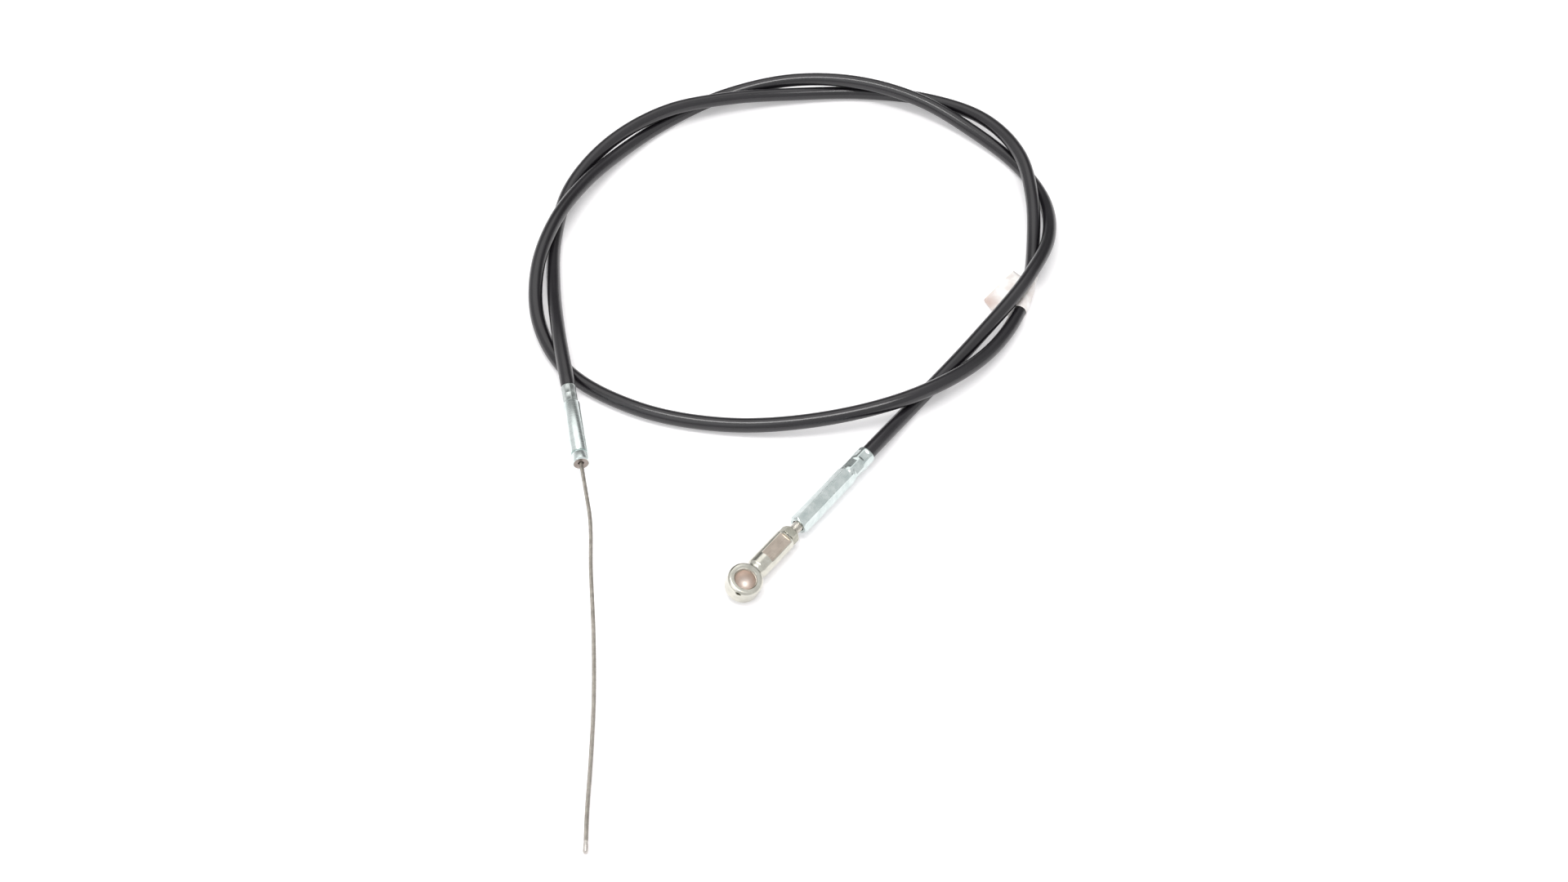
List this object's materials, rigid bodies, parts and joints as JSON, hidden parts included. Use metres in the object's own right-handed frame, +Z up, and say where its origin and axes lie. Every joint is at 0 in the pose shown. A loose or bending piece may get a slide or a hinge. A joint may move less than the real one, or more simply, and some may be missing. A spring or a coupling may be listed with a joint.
{
  "type": "throttle cable",
  "caption": "Jacketed throttle cable in loose turns, with a sliding ball socket on a hexagonal ferrule at one end and a bare wire in a plain ferrule at the other.",
  "frame": {"origin": "middle of the bounding box, on the surface that the cable lies on", "axes": "+Z up; +Y from the bare wire towards the loop; +X towards the side of the loop where the label is"},
  "size_m": [0.2684, 0.4698, 0.0155],
  "materials": {
    "jacket": "satin",
    "liner": "satin",
    "spring_steel": "satin",
    "wire_steel": "satin",
    "zinc": "polished",
    "nickel": "polished",
    "tape": "matte"
  },
  "bodies": {
    "conduit": {"outer_jacket": "jacket", "conduit_winding": "spring_steel", "conduit_liner": "liner", "inner_wire": "wire_steel", "engine_ferrule": "zinc", "lever_ferrule": "zinc", "label": "tape"},
    "lever_end": {"pull_rod": "nickel", "lock_nut": "nickel", "ball_socket": "nickel", "snap_ring": "spring_steel"},
    "engine_wire": {"bare_wire": "wire_steel", "wire_tip": "wire_steel"}
  },
  "joints": [
    {"name": "lever_slide", "type": "slide", "parent": "conduit", "child": "lever_end", "axis": [-0.6088, -0.7934, 0], "range_m": [0, 0.025], "deforming": ["inner_wire"]},
    {"name": "wire_slide", "type": "slide", "parent": "conduit", "child": "engine_wire", "axis": [-0.1994, 0.9799, 0], "range_m": [0, 0.025], "deforming": ["inner_wire"]}
  ],
  "couplings": [
    {"joint": "wire_slide", "follows": "lever_slide", "ratio": 1}
  ]
}
